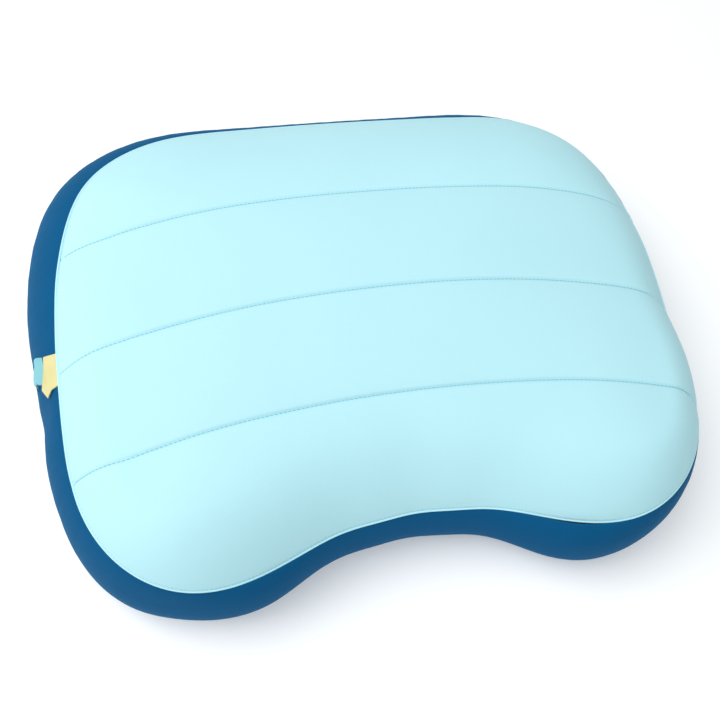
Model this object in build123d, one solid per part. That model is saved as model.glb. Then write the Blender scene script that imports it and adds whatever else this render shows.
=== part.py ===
from build123d import *
import math
import os

# Inflatable camp pillow.  Millimetres, +X along the long side, +Y away from the
# neck cut-out, +Z up.  Origin: centre of the underside, on the rest plane.

# ---------------------------------------------------------------- driving sizes
HALF_W = 210.0          # half of the overall width
Y_SHIFT = -20.1         # outline centre to row origin
# outline (plan view) as r(a) = sum C[k] cos(k a), a = 0 at the neck, 180 at the far side
OUTLINE = [197.779, -29.440, -29.232, -6.077, -19.077, -0.030, 3.142, 1.471, 2.274,
           0.771, 0.643, 0.137, -0.266, -0.470, -0.177, -0.175, -0.263]
N_RING = 60             # points on one outline ring

ROLL = (87.2, 0.181, -36.8)      # horizontal depth of the rolled edge: c, per mm of y, per (x/HALF_W)^2
EQUATOR = (34.7, 0.014, -5.2)    # height of the widest line
SHOULDER = (57.1, -0.0195, 5.9)  # rise from the widest line to the shoulder
DOME = 15.0             # extra crown towards the middle
DOME_LEN = 73.5         # distance over which the crown builds up
LOWER_POWER = 2.78      # fullness of the wall below the widest line
TOP_Z = 102.3           # height of the last full ring

SEAM = (59.8, 0.031, 20.0)       # height of the edge seam: c, per mm of y, per (x/HALF_W)^2
SEAM_DROP = 9.0                  # the seam runs this much lower along the +X side
QUILT = [(79.2, -29.3), (7.7, -28.9), (-59.1, -32.1)]   # y of a quilt line, per (x/HALF_W)^2

T_COVER = 1.0           # knit cover with its backing
D_TAPE = (1.5, 2.3)     # tapes sewn inside the cover lie between these depths
D_FILL = (2.8, 5.2)     # fill pads lie between these depths
D_FILM = (6.3, 7.1)     # bladder film lies between these depths
T_WEB = 1.0             # baffle web
WEB_HALF_LEN = 150.0    # webs stop short of the side walls so that air passes
BINDING_H = 2.4         # visible hem lip at the edge seam
BINDING_T = 0.6

# valve on the left wall, under the pull tab
VALVE_Y = 3.0 + Y_SHIFT
VALVE_RECESS = 2.6      # the valve face lies this far inside the wall
VALVE_X = -203.2 + VALVE_RECESS * math.cos(math.radians(20.0))
VALVE_Z = 54.1 - VALVE_RECESS * math.sin(math.radians(20.0))
VALVE_TILT = 20.0       # degrees above horizontal
R_TUBE_IN, R_TUBE_OUT, R_LIP, R_HOLE = 6.4, 7.4, 8.4, 8.65
R_PORT = 3.4
R_CAP = 6.9
HINGE_LAT = 8.3         # the straps of the valve caps end this far below the valve axis

# pull tab
TAB_Y = (-19.0 + Y_SHIFT, 2.4 + Y_SHIFT)


# ---------------------------------------------------------------- pillow surface
def outline(a):
    r = sum(c * math.cos(k * a) for k, c in enumerate(OUTLINE))
    dr = sum(-k * c * math.sin(k * a) for k, c in enumerate(OUTLINE))
    cosn = r / math.hypot(r, dr)          # between the ray and the outward normal
    return r, cosn


def field(f, x, y):
    return f[0] + f[1] * y + f[2] * (x / HALF_W) ** 2


def profile(a, d):
    """Sizes of the rolled edge met by the ray at angle a, for depth d."""
    r, cosn = outline(a)
    x, y = r * math.sin(a), -r * math.cos(a)
    return r, cosn, field(ROLL, x, y) - d, field(EQUATOR, x, y), field(SHOULDER, x, y) - d


def crown(sd, roll, ze, h):
    u = max(1.0 - sd / roll, 0.0)
    return ze + h * math.sqrt(1.0 - u * u) + DOME * (1.0 - math.exp(-sd / DOME_LEN))


def top_inset(a, d):
    """Distance in from the edge at which the crown reaches the last full ring."""
    r, cosn, roll, ze, h = profile(a, d)
    lo, hi = 0.0, r * cosn * 0.97
    for _ in range(50):
        mid = 0.5 * (lo + hi)
        if crown(mid, roll, ze, h) < TOP_Z - d:
            lo = mid
        else:
            hi = mid
    return 0.5 * (lo + hi)


def phi_at(a, d, off):
    """Angle from vertical at which the surface at depth d meets the edge seam raised by off."""
    lo, hi = 8.0, 90.0
    for _ in range(40):
        mid = 0.5 * (lo + hi)
        x, y, z = on_roll(a, mid, d)
        if z > seam_z(x, y) + off:
            lo = mid
        else:
            hi = mid
    return 0.5 * (lo + hi)


def on_ray(a, sd, z, d, shrink=1.0):
    r, cosn = outline(a)
    rr = (r - (sd + d) / cosn) * shrink
    return (rr * math.sin(a), -rr * math.cos(a) + Y_SHIFT, z)


def on_roll(a, phi, d):
    _, _, roll, ze, h = profile(a, d)
    sd = roll * (1.0 - math.sin(math.radians(phi)))
    return on_ray(a, sd, crown(sd, roll, ze, h), d)


def point(kind, v, a, d):
    """A point of the form at depth d on the ray at angle a.
    floor / low: below the widest line, v is an angle.   wall: v runs from just above
    the widest line (0) to the seam (1).   over: v runs from the seam (0) to the shoulder (1).
    mid: share of the way to the last full ring.   top: on the crown, v shrinks the ring."""
    _, _, roll, ze, h = profile(a, d)
    if kind in ("floor", "low"):
        t = math.radians(v)
        sd = roll * (1.0 - math.cos(t) ** (2.0 / LOWER_POWER))
        z = d if kind == "floor" else ze - (ze - d) * math.sin(t) ** (2.0 / LOWER_POWER)
        return on_ray(a, sd, z, d)
    if kind == "band":                       # v millimetres above the seam
        return on_roll(a, phi_at(a, d, v), d)
    if kind in ("wall", "over"):
        ps = phi_at(a, d, WALL_OFF if kind == "wall" else OVER_OFF)
        return on_roll(a, 86.0 + (ps - 86.0) * v if kind == "wall" else ps + (min(28.0, ps - 6.0) - ps) * v, d)
    s_top, s_0 = top_inset(a, d), roll * (1.0 - math.sin(math.radians(28.0)))
    if kind == "mid":
        sd = s_0 + (s_top - s_0) * v
        return on_ray(a, sd, crown(sd, roll, ze, h), d)
    lift = {1.0: 0.0, 0.75: 1.4, 0.5: 2.2}[v]
    return on_ray(a, s_top, TOP_Z - d + lift, d, v)


WALL_OFF, OVER_OFF = 0.0, 0.0


def ring(kind, v, d):
    return Wire.make_polygon([Vector(*point(kind, v, 2.0 * math.pi * i / N_RING, d)) for i in range(N_RING)])


def skin(levels, d_out, d_in):
    """A thick skin, closed at one end by the floor or the crown and open at the other."""
    return solid([ring(k, v, d_in) for k, v in levels] + [ring(k, v, d_out) for k, v in reversed(levels)])


def solid(sections):
    s = Solid.make_loft(sections, True)
    return s if s.volume > 0 else -s


def ease(v, lo, hi):
    t = min(max((v - lo) / (hi - lo), 0.0), 1.0)
    return t * t * (3.0 - 2.0 * t)


def seam_z(x, y):
    yy = y - Y_SHIFT
    drop = SEAM_DROP * ease(x, 90.0, 165.0) * ease(yy, -125.0, -55.0)
    return SEAM[0] + SEAM[1] * yy + SEAM[2] * (x / HALF_W) ** 2 - drop


def hoop(lo, hi, d_out, d_in):
    """A tape that runs round the pillow from lo to hi above the seam, butt-joined at the neck."""
    secs = []
    for i in range(N_RING + 1):
        a = math.radians(0.15 + (359.7) * i / N_RING)
        secs.append(Wire.make_polygon([Vector(*point("band", v, a, d))
                                       for v, d in ((lo, d_out), (hi, d_out), (hi, d_in), (lo, d_in))]))
    return solid(secs)


def top_z(x, y, d):
    """Height of the upper surface at depth d over a plan position."""
    yy = y - Y_SHIFT
    a = math.atan2(x, -yy)
    r, cosn, roll, ze, h = profile(a, d)
    sd = max((r - math.hypot(x, yy)) * cosn - d, 0.0)
    return min(crown(sd, roll, ze, h), TOP_Z - d + 2.0)


def quilt_y(k, x):
    return QUILT[k][0] + QUILT[k][1] * (x / HALF_W) ** 2 + Y_SHIFT


def plan_limit(x, sign, d, off):
    """y where the surface at depth d comes down to the seam height plus off, far (+1) or near (-1)."""
    lo, hi = Y_SHIFT, sign * 200.0
    for _ in range(40):
        mid = 0.5 * (lo + hi)
        yy = mid - Y_SHIFT
        r, cosn = outline(math.atan2(x, -yy))
        inside = math.hypot(x, yy) < r - (d + 0.3) / cosn
        if inside and top_z(x, mid, d) > seam_z(-abs(x), mid) + off:
            lo = mid
        else:
            hi = mid
    return 0.5 * (lo + hi)


def x_limit(y_of_x, d, off):
    lo, hi = 60.0, 209.0
    for _ in range(40):
        mid = 0.5 * (lo + hi)
        y = y_of_x(mid)
        r, cosn = outline(math.atan2(mid, -(y - Y_SHIFT)))
        if math.hypot(mid, y - Y_SHIFT) < r - (d + 0.3) / cosn and top_z(mid, y, d) > seam_z(-mid, y) + off:
            lo = mid
        else:
            hi = mid
    return 0.5 * (lo + hi)


def slab(x_half, n, y_lo, y_hi, z_lo, z_hi, m):
    """Solid between two surfaces, built of plane sections across X."""
    secs = []
    for i in range(n + 1):
        x = -x_half * math.cos(math.pi * i / n)
        a, b = y_lo(x), y_hi(x)
        ys = [a + (b - a) * j / m for j in range(m + 1)]
        pts = [Vector(x, y, z_hi(x, y)) for y in ys] + [Vector(x, y, z_lo(x, y)) for y in reversed(ys)]
        secs.append(Wire.make_polygon(pts))
    return solid(secs)


def one(shape):
    """Keep the real piece where a cut leaves slivers."""
    solids = shape.solids()
    big = max(s.volume for s in solids)
    keep = [s for s in solids if s.volume > 0.02 * big]
    return keep[0] if len(keep) == 1 else Compound(children=keep)


FLOOR = [("floor", 78), ("low", 62), ("low", 46), ("low", 30), ("low", 12)]
WALL = [("wall", 0.0), ("wall", 0.35), ("wall", 0.7), ("wall", 1.0)]
OVER = [("over", 0.0), ("over", 0.25), ("over", 0.5), ("over", 0.75), ("over", 1.0), ("mid", 0.25), ("mid", 0.5), ("mid", 0.75)]
CROWN = [("top", 1.0), ("top", 0.75), ("top", 0.5)]

# ---------------------------------------------------------------- outer covers
bottom_cover = skin(FLOOR + WALL, 0.0, T_COVER)
top_cover = skin(list(reversed(OVER + CROWN)), 0.0, T_COVER)
edge_binding = hoop(0.0, BINDING_H, -BINDING_T, -0.05)
edge_seam_tape = hoop(-4.0, 2.4, D_TAPE[0], D_TAPE[1])

# ---------------------------------------------------------------- bladder films, welded together below the edge seam
WALL_OFF = OVER_OFF = -8.0
bladder_bottom = skin(FLOOR + WALL, D_FILM[0], D_FILM[1])
bladder_top = skin(list(reversed(OVER + CROWN)), D_FILM[0], D_FILM[1])

# ---------------------------------------------------------------- fill pads, quilting and baffle webs
D1, D2 = D_FILL
far = lambda x: plan_limit(x, 1, D2, 7.0)
near = lambda x: plan_limit(x, -1, D2, 18.0)
edges = [far] + [lambda x, k=k: quilt_y(k, x) for k in range(3)] + [near]
pads = []
for i in range(4):
    hi = (lambda x, i=i: edges[i](x) - (1.5 if i else 0.0))
    lo = (lambda x, i=i: edges[i + 1](x) + (1.5 if i < 3 else 0.0))
    mid = (lambda x, hi=hi, lo=lo: 0.5 * (hi(x) + lo(x)))
    # a pad ends where both of its sides still lie inside the rolled edge
    side = edges[i + 1] if i == 0 else edges[i]
    xh = min(x_limit(side, D2, 7.0), 190.0) if i in (1, 2) else 0.0
    if i in (1, 2):
        xh = min(x_limit(edges[i], D2, 7.0), x_limit(edges[i + 1], D2, 7.0))
    else:
        lo_x, hi_x = 60.0, x_limit(side, D2, 7.0)
        for _ in range(30):
            m_x = 0.5 * (lo_x + hi_x)
            if hi(m_x) - lo(m_x) > 12.0:
                lo_x = m_x
            else:
                hi_x = m_x
        xh = lo_x
    pads.append(slab(xh, 32, lo, hi, lambda x, y: top_z(x, y, D2), lambda x, y: top_z(x, y, D1), 6))
quilts, webs = [], []
for k in range(3):
    y_k = lambda x, k=k: quilt_y(k, x)
    quilts.append(slab(x_limit(y_k, D_FILM[0], 6.0), 24, lambda x: y_k(x) - 1.1, lambda x: y_k(x) + 1.1,
                       lambda x, y: top_z(x, y, D_FILM[0]) + 0.7, lambda x, y: top_z(x, y, T_COVER) - 1.4, 1))
    webs.append(slab(WEB_HALF_LEN, 16, lambda x: y_k(x) - T_WEB / 2, lambda x: y_k(x) + T_WEB / 2,
                     lambda x, y: D_FILM[1], lambda x, y: top_z(x, y, D_FILM[1]) - 1.0, 1))

# ---------------------------------------------------------------- valve frame
tilt = math.radians(VALVE_TILT)
valve_axis = Vector(-math.cos(tilt), 0, math.sin(tilt))
VALVE = Plane(origin=(VALVE_X, VALVE_Y, VALVE_Z), x_dir=(0, 1, 0), z_dir=valve_axis)
# local +X is +Y of the pillow; local +Y points down the wall when x_dir x z_dir is used
DOWN = 1.0 if (VALVE.y_dir.Z < 0) else -1.0


def disc(r, z0, z1, r_top=None):
    r_top = r if r_top is None else r_top
    if abs(r - r_top) < 1e-9:
        s = Solid.make_cylinder(r, z1 - z0, Plane((0, 0, z0)))
    else:
        s = Solid.make_cone(r, r_top, z1 - z0, Plane((0, 0, z0)))
    return s


def place(s):
    return VALVE.from_local_coords(s)


bore = place(disc(R_TUBE_OUT, -14, 6))
hole = place(disc(R_HOLE, -4, 8))

bottom_cover = one(bottom_cover - hole)
bladder_bottom = one(bladder_bottom - bore)


def form(d):
    """Solid of the whole form at depth d, used to fit small parts to the wall."""
    return solid([ring(k, v, d) for k, v in FLOOR + WALL + OVER[1:] + CROWN])


WALL_OFF = OVER_OFF = 0.0
B = {d: form(d) for d in (-0.9, -0.3, D_TAPE[0], D_TAPE[1], 4.6, 5.9)}

# ---------------------------------------------------------------- valve
ring_zone = place(disc(12.0, -14, 6))
reinforcement = one(((ring_zone & B[D_TAPE[0]]) - B[D_TAPE[1]]) - hole)
weld_zone = place(disc(13.0, -16, 6))
weld_flange = one(((weld_zone & B[4.6]) - B[5.9]) - bore)

tube = disc(R_TUBE_OUT, -9.0, 1.0) - disc(R_TUBE_IN, -9.5, 1.5)
lip = disc(R_LIP, -0.4, 1.0) - disc(R_TUBE_OUT - 0.2, -1.0, 1.5)
housing = one(place(tube + lip))

plug = disc(5.0, -5.0, 1.0, 6.3) + disc(8.0, 1.0, 1.6)
strap = Solid.make_box(4.0, HINGE_LAT - 6.0, 0.6, Plane((-2.0, 6.0 if DOWN > 0 else -HINGE_LAT, 1.0)))
plug = (plug + strap) - disc(R_PORT, -6.0, 3.0)
plug = place(plug)

flap = disc(4.2, -5.6, -5.1)
flap_root = Solid.make_box(3.0, 1.2, 0.5, Plane((-1.5, 3.6 if DOWN > 0 else -4.8, -5.6)))
flap = place(flap + flap_root)

cap_plate = disc(R_CAP, 1.7, 2.9) + disc(2.9, -0.6, 1.7, 3.25)
cap_strap = Solid.make_box(4.0, HINGE_LAT - 6.0, 0.8, Plane((-2.0, 6.0 if DOWN > 0 else -HINGE_LAT, 1.7)))
cap = place(cap_plate + cap_strap)
# finger lip: a flat tongue that stands out nearly level from the top of the cap
lip_drop = math.radians(20.0)
LIPP = Plane(origin=(-198.6, 0.2 + Y_SHIFT, 65.0), x_dir=(0, 1, 0),
             z_dir=Vector(-math.sin(lip_drop), 0, math.cos(lip_drop)))
out_sign = 1.0 if LIPP.y_dir.X < 0 else -1.0
with BuildPart() as tongue_bp:
    with BuildSketch(Plane.XY) as tongue_sk:
        Polygon(*[(p, out_sign * q) for p, q in ((7.6, -2.4), (9.4, 4.7), (-9.5, 3.2), (-9.5, -2.4))], align=None)
        fillet(tongue_sk.vertices(), 2.0)
    extrude(amount=-1.5)
tongue = LIPP.from_local_coords(tongue_bp.part) - place(disc(9.6, -5.0, 1.7))
neck = Plane(origin=(VALVE_X, 0.2 + Y_SHIFT, VALVE_Z), x_dir=(0, 1, 0), z_dir=valve_axis).from_local_coords(
    Solid.make_box(10.0, 5.6, 1.1, Plane((-5.0, -10.1 if DOWN > 0 else 4.5, 2.6))))
cap = one(cap + ((tongue + neck) - B[-0.3]))

# ---------------------------------------------------------------- pull tab
# a ribbon that leaves the edge seam and stands out over the valve, its near end cut to a point
seam_x, seam_h = -189.2, seam_z(-189.2, -8.0 + Y_SHIFT) + 0.2
drop = math.radians(27.0)
tab_dir = Vector(-math.cos(drop), 0, -math.sin(drop))
TABP = Plane(origin=(seam_x, Y_SHIFT, seam_h), x_dir=(0, 1, 0), z_dir=Vector(-math.sin(drop), 0, math.cos(drop)))
s = 1.0 if TABP.y_dir.X < 0 else -1.0
out = [(-17.4, 0.6), (2.6, 0.6), (3.6, 7.0), (-6.0, 7.4), (-13.0, 8.4), (-16.9, 9.2), (-22.2, 6.4), (-18.6, 2.8)]
with BuildPart() as tab_bp:
    with BuildSketch(Plane.XY):
        Polygon(*[(p, s * q) for p, q in out], align=None)
    extrude(amount=0.9)
tab = one(TABP.from_local_coords(tab_bp.part) - B[-0.9])

# ---------------------------------------------------------------- write the parts
nodes = {
    "top_cover": top_cover, "bottom_cover": bottom_cover,
    "edge_binding": edge_binding, "edge_seam_tape": edge_seam_tape,
    "bladder_top_film": bladder_top, "bladder_bottom_film": bladder_bottom,
    "valve_reinforcement": reinforcement, "valve_weld_flange": weld_flange,
    "valve_housing": housing, "deflate_plug": plug, "check_flap": flap,
    "inflate_cap": cap, "pull_tab": tab,
}
for i, p in enumerate(pads, 1):
    nodes["fill_pad_%d" % i] = p
for i, q in enumerate(quilts, 1):
    nodes["quilt_seam_%d" % i] = q
for i, w in enumerate(webs, 1):
    nodes["baffle_web_%d" % i] = w

os.makedirs("parts", exist_ok=True)
for name, shape in nodes.items():
    export_step(shape, "parts/%s.step" % name)
    bb = shape.bounding_box()
    print("%-22s solids %d vol %9.1f  x %.1f..%.1f y %.1f..%.1f z %.1f..%.1f" % (
        name, len(shape.solids()), shape.volume, bb.min.X, bb.max.X, bb.min.Y, bb.max.Y, bb.min.Z, bb.max.Z))
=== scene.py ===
import math

import bmesh
import bpy
import numpy as np
from mathutils import Matrix, Vector
from mathutils import geometry


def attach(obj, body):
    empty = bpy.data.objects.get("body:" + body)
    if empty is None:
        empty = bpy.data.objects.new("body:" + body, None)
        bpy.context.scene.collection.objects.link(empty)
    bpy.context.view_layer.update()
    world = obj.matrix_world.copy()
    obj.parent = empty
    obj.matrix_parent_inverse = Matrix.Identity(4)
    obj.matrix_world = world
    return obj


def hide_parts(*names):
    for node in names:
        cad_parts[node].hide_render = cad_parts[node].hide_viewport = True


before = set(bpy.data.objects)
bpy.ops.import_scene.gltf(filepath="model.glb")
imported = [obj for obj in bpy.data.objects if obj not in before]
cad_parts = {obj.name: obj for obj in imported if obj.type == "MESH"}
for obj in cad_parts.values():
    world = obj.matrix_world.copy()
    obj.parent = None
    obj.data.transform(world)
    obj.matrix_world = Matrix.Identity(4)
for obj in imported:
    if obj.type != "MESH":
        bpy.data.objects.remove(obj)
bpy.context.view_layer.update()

RNG = np.random.default_rng(7)

# ------------------------------------------------------------------ pillow form (millimetres)
S = 210.0
YS = -20.1
OUT = np.array([197.779, -29.440, -29.232, -6.077, -19.077, -0.030, 3.142, 1.471, 2.274,
                0.771, 0.643, 0.137, -0.266, -0.470, -0.177, -0.175, -0.263])
KK = np.arange(17)
QUILT = [(82.4, -29.3), (9.1, -28.9), (-58.6, -32.1)]
DOME, DOME_LEN, PL = 15.0, 73.5, 2.78


def smooth(x, a, b):
    t = np.clip((x - a) / (b - a), 0, 1)
    return t * t * (3 - 2 * t)


def outline(a):
    a = np.asarray(a, float)
    ka = KK[None, :] * a.reshape(-1, 1)
    r = (OUT * np.cos(ka)).sum(1)
    dr = (-KK * OUT * np.sin(ka)).sum(1)
    c = np.stack([r * np.sin(a), -r * np.cos(a)], 1)
    t = np.stack([dr * np.sin(a) + r * np.cos(a), -dr * np.cos(a) + r * np.sin(a)], 1)
    t /= np.linalg.norm(t, axis=1)[:, None]
    n = np.stack([t[:, 1], -t[:, 0]], 1)
    flip = np.sign((n * c).sum(1))
    return c, n * flip[:, None]


def fields(c):
    X, Y = c[:, 0] / S, c[:, 1] / S
    R = (0.4153 + 0.181 * Y - 0.1752 * X * X) * S
    ze = (0.1651 + 0.0144 * Y - 0.0247 * X * X) * S
    Ht = (0.2721 - 0.0195 * Y + 0.028 * X * X) * S
    ps = 1.1109 - 0.106 * Y - 0.463 * X * X
    ps = ps + 0.20 * smooth(c[:, 0], 90.0, 170.0) * smooth(c[:, 1], -125.0, -55.0)
    left = smooth(-c[:, 0], 120.0, 165.0)
    ps = ps + left * (0.042 * np.exp(-((c[:, 1] + 4.0) / 26.0) ** 2) - 0.018 * np.exp(-((c[:, 1] + 58.0) / 22.0) ** 2))
    return R, ze, Ht, ps


def arc_angles(n):
    """n ray angles whose outline points are evenly spaced."""
    a = np.linspace(0, 2 * np.pi, 7201)
    c, _ = outline(a)
    L = np.concatenate([[0], np.cumsum(np.linalg.norm(np.diff(c, axis=0), axis=1))])
    return np.interp(np.linspace(0, L[-1], n + 1)[:-1], L, a), L[-1]


_A, PERIM = arc_angles(3600)
_C, _N = outline(_A)
_R, _ZE, _HT, _PS = fields(_C)


def nearest(p):
    """Distance in from the outline and the outline index, for plan points p (unshifted)."""
    sd = np.empty(len(p))
    idx = np.empty(len(p), int)
    for i in range(0, len(p), 4000):
        q = p[i:i + 4000]
        d2 = ((q[:, None, :] - _C[None, ::3, :]) ** 2).sum(2)
        j = d2.argmin(1) * 3
        best, bj = None, None
        for o in (-2, -1, 0, 1, 2):
            jj = (j + o) % len(_C)
            rel = q - _C[jj]
            d = (rel ** 2).sum(1)
            if best is None:
                best, bj = d, jj
            else:
                m = d < best
                best = np.where(m, d, best)
                bj = np.where(m, jj, bj)
        # distance along the normal at the nearest outline point
        sd[i:i + 4000] = -((q - _C[bj]) * _N[bj]).sum(1)
        idx[i:i + 4000] = bj
    return np.maximum(sd, 0.0), idx


def raw_top(p):
    sd, j = nearest(p)
    R, Ht = _R[j], _HT[j]
    X, Y = p[:, 0] / S, p[:, 1] / S
    shoulder = (0.4372 - 0.0051 * Y + 0.0033 * X * X) * S
    u = np.clip(1 - sd / R, 0, 1)
    sd_s = R * (1 - np.sin(_PS[j]))
    dome = DOME * (1 - np.exp(-sd / DOME_LEN))
    dome -= DOME * (1 - np.exp(-sd_s / DOME_LEN)) * np.exp(-np.maximum(sd - sd_s, 0) / 25.0)
    dome = np.where(sd < sd_s, 0.0, dome)
    return shoulder - Ht * (1 - np.sqrt(1 - u * u)) + dome, sd


# a blurred copy of the crown takes out the ridges of the distance field
_G = 3.0
_gx = np.arange(-222, 222.1, _G)
_gy = np.arange(-162, 204.1, _G)
_P = np.stack(np.meshgrid(_gx, _gy, indexing="ij"), -1).reshape(-1, 2)
_Z, _SD = raw_top(_P)
_Z = _Z.reshape(len(_gx), len(_gy))
_SD = _SD.reshape(_Z.shape)
_k = np.exp(-0.5 * (np.arange(-14, 15) * _G / 11.0) ** 2)
_W = (_SD > 14).astype(float)


def _blur(m):
    m = np.apply_along_axis(lambda v: np.convolve(v, _k, "same"), 0, m)
    return np.apply_along_axis(lambda v: np.convolve(v, _k, "same"), 1, m)


_ZB = _blur(_Z * _W) / np.maximum(_blur(_W), 1e-6)


def sample(grid, p):
    fx = np.clip((p[:, 0] - _gx[0]) / _G, 1, len(_gx) - 3)
    fy = np.clip((p[:, 1] - _gy[0]) / _G, 1, len(_gy) - 3)
    ix, iy = fx.astype(int), fy.astype(int)
    tx, ty = fx - ix, fy - iy

    def w(t):
        return [-0.5 * t + t * t - 0.5 * t ** 3, 1 - 2.5 * t * t + 1.5 * t ** 3,
                0.5 * t + 2 * t * t - 1.5 * t ** 3, -0.5 * t * t + 0.5 * t ** 3]
    wx, wy = w(tx), w(ty)
    out = 0
    for a in range(4):
        for b in range(4):
            out = out + wx[a] * wy[b] * grid[ix + a - 1, iy + b - 1]
    return out


def crown(p):
    z, sd = raw_top(p)
    w = smooth(sd, 30.0, 62.0)
    return z * (1 - w) + sample(_ZB, p) * w


# ------------------------------------------------------------------ quilting
BEND = (6.0, 2.0, 8.5)


def quilt_y(k, x):
    """Plan height of quilt line k; it turns up a little where it meets the left edge."""
    return QUILT[k][0] + QUILT[k][1] * (x / S) ** 2 + BEND[k] * smooth(-x, 148.0, 206.0)


def quilt_t(k, x, y):
    """Signed distance from quilt line k in plan."""
    c = QUILT[k][1]
    g = quilt_y(k, x)
    s = 2 * c * x / S ** 2
    return (y - g) / np.sqrt(1 + s * s)


def wobble(x, f, ph):
    return np.sin(x * f + ph) + 0.6 * np.sin(x * f * 1.73 + 2.1 * ph) + 0.4 * np.sin(x * f * 2.91 + 0.7 * ph)


END_L, END_R = (0.05, 0.0, 0.15), (0.25, 0.75, 0.65)


def valley(x, y, depth=2.3, length=13.0, groove=1.0, gw=0.9, pucker=0.10):
    """How far the surface is drawn in by the quilt lines, which fade towards the side seams."""
    v = np.zeros_like(x)
    for k in range(3):
        t = quilt_t(k, x, y)
        a = np.abs(t)
        end = (END_L[k] + (1 - END_L[k]) * smooth(x, -197.0, -120.0)) * (END_R[k] + (1 - END_R[k]) * smooth(-x, -197.0, -130.0))
        d = depth * end * (1 + 0.05 * wobble(x, 0.035, k + 1.0))
        g = groove * (0.6 + 0.4 * end) * (0.2 + 0.8 * smooth(x, -199.0, -172.0))
        v = np.maximum(v, d * np.exp(-a / length) + g * np.exp(-(t / gw) ** 2))
        v = v + pucker * wobble(x, 0.52, 3.0 * k + np.sign(t)) * np.exp(-a / 6.0) * (1 - np.exp(-a / 1.5)) * 0.5
    return v


def swell(x, y):
    """Very slight unevenness of a fibre-filled surface."""
    return 0.22 * (np.sin(x * 0.031 + 0.4) * np.sin(y * 0.043 + 1.3) + np.sin(x * 0.013 - y * 0.022 + 2.0))


def top_points(p, depth=2.3, groove=0.85, pucker=0.10, inward=0.0):
    """Points of the upper surface over plan points p (unshifted), drawn in at the quilt lines."""
    z = crown(p)
    e = 0.6
    zx = (crown(p + [e, 0]) - crown(p - [e, 0])) / (2 * e)
    zy = (crown(p + [0, e]) - crown(p - [0, e])) / (2 * e)
    n = np.stack([-zx, -zy, np.ones(len(p))], 1)
    n /= np.linalg.norm(n, axis=1)[:, None]
    move = swell(p[:, 0], p[:, 1]) - valley(p[:, 0], p[:, 1], depth=depth, groove=groove, pucker=pucker) - inward
    return np.concatenate([p, z[:, None]], 1) + n * move[:, None], n


def seam_point(a, out=0.0, lift=0.0):
    """The edge seam on the ray angles a: points, outward normals and the direction up the surface."""
    c, n = outline(a)
    R, ze, Ht, ps = fields(c)
    sn, cs = np.sin(ps), np.cos(ps)
    p = c - n * (R * (1 - sn))[:, None]
    z = ze + Ht * cs
    nr, nz = sn / R, cs / Ht
    L = np.hypot(nr, nz)
    nr, nz = nr / L, nz / L
    N = np.concatenate([n * nr[:, None], nz[:, None]], 1)
    U = np.concatenate([-n * nz[:, None], nr[:, None]], 1)
    v = valley(p[:, 0], p[:, 1], depth=1.8, groove=0.0, gw=3.0, pucker=0.0)
    P = np.concatenate([p, z[:, None]], 1) + N * (out - v)[:, None] + U * np.asarray(lift)[..., None]
    return P, N, U


def wall_ring(a, kind, v, d=0.0, pinch=1.0):
    """Points round the side wall.  up: v from the seam (0) to the widest line (1); low: angle below it."""
    c, n = outline(a)
    R, ze, Ht, ps = fields(c)
    if kind == "up":
        ph = ps + (np.pi / 2 - ps) * v
        x, z = R * np.sin(ph), ze + Ht * np.cos(ph)
        nr, nz = np.sin(ph) / R, np.cos(ph) / Ht
    else:
        t = math.radians(v)
        ct, st = max(math.cos(t), 1e-9), max(math.sin(t), 1e-9)
        x = R * ct ** (2 / PL)
        z = ze - ze * st ** (2 / PL)
        nr = (x / R) ** (PL - 1) / R
        nz = -((ze - z) / ze) ** (PL - 1) / ze
    L = np.hypot(nr, nz)
    nr, nz = nr / L, nz / L
    p = c - n * (R - x)[:, None]
    N = np.concatenate([n * nr[:, None], nz[:, None]], 1)
    fade = smooth(z, 4.0, 34.0)
    val = valley(p[:, 0], p[:, 1], depth=2.4, length=11.0, groove=0.0, pucker=0.0) * fade * pinch
    # the wall is drawn in a little further beside the valve
    tv = quilt_t(1, p[:, 0], p[:, 1])
    val = val + 1.3 * np.exp(-((tv + 12.0) / 12.0) ** 2) * fade * smooth(-p[:, 0], 150.0, 170.0) * smooth(74.0 - z, 0.0, 14.0) * pinch
    val = val + 0.12 * wobble(a * 190, 0.33, 1.0) * smooth(z, 20.0, 50.0) * 0.5
    x0 = p[:, 0]
    lobe = 5.4 * np.exp(-((x0 - 96.0) / 34.0) ** 2) + 3.0 * np.exp(-((x0 + 88.0) / 26.0) ** 2) - 2.2 * np.exp(-((x0 + 142.0) / 24.0) ** 2)
    val = val - lobe * smooth(-p[:, 1], 70.0, 110.0) * smooth(72.0 - z, 0.0, 26.0) * smooth(z, 0.0, 10.0)
    P = np.concatenate([p, z[:, None]], 1) - N * (val + d)[:, None]
    P[:, 2] = np.maximum(P[:, 2], d)
    return P, N


# ------------------------------------------------------------------ helpers
def to_m(P):
    P = np.array(P, float)
    P[:, 1] += YS
    return P * 0.001


def mesh_object(name, verts, faces, smooth_faces=True):
    me = bpy.data.meshes.new(name)
    me.from_pydata([tuple(v) for v in verts], [], [tuple(int(i) for i in f) for f in faces])
    me.validate()
    me.update()
    if smooth_faces:
        me.polygons.foreach_set("use_smooth", [True] * len(me.polygons))
    o = bpy.data.objects.new(name, me)
    bpy.context.scene.collection.objects.link(o)
    return o


def fix_normals(o):
    bm = bmesh.new()
    bm.from_mesh(o.data)
    bmesh.ops.recalc_face_normals(bm, faces=bm.faces)
    bm.to_mesh(o.data)
    bm.free()


def ring_faces(rows, n, close=True, base=0):
    f = []
    m = n if close else n - 1
    for r in range(rows - 1):
        for i in range(m):
            j = (i + 1) % n
            f.append((base + r * n + i, base + r * n + j, base + (r + 1) * n + j, base + (r + 1) * n + i))
    return f


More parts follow.
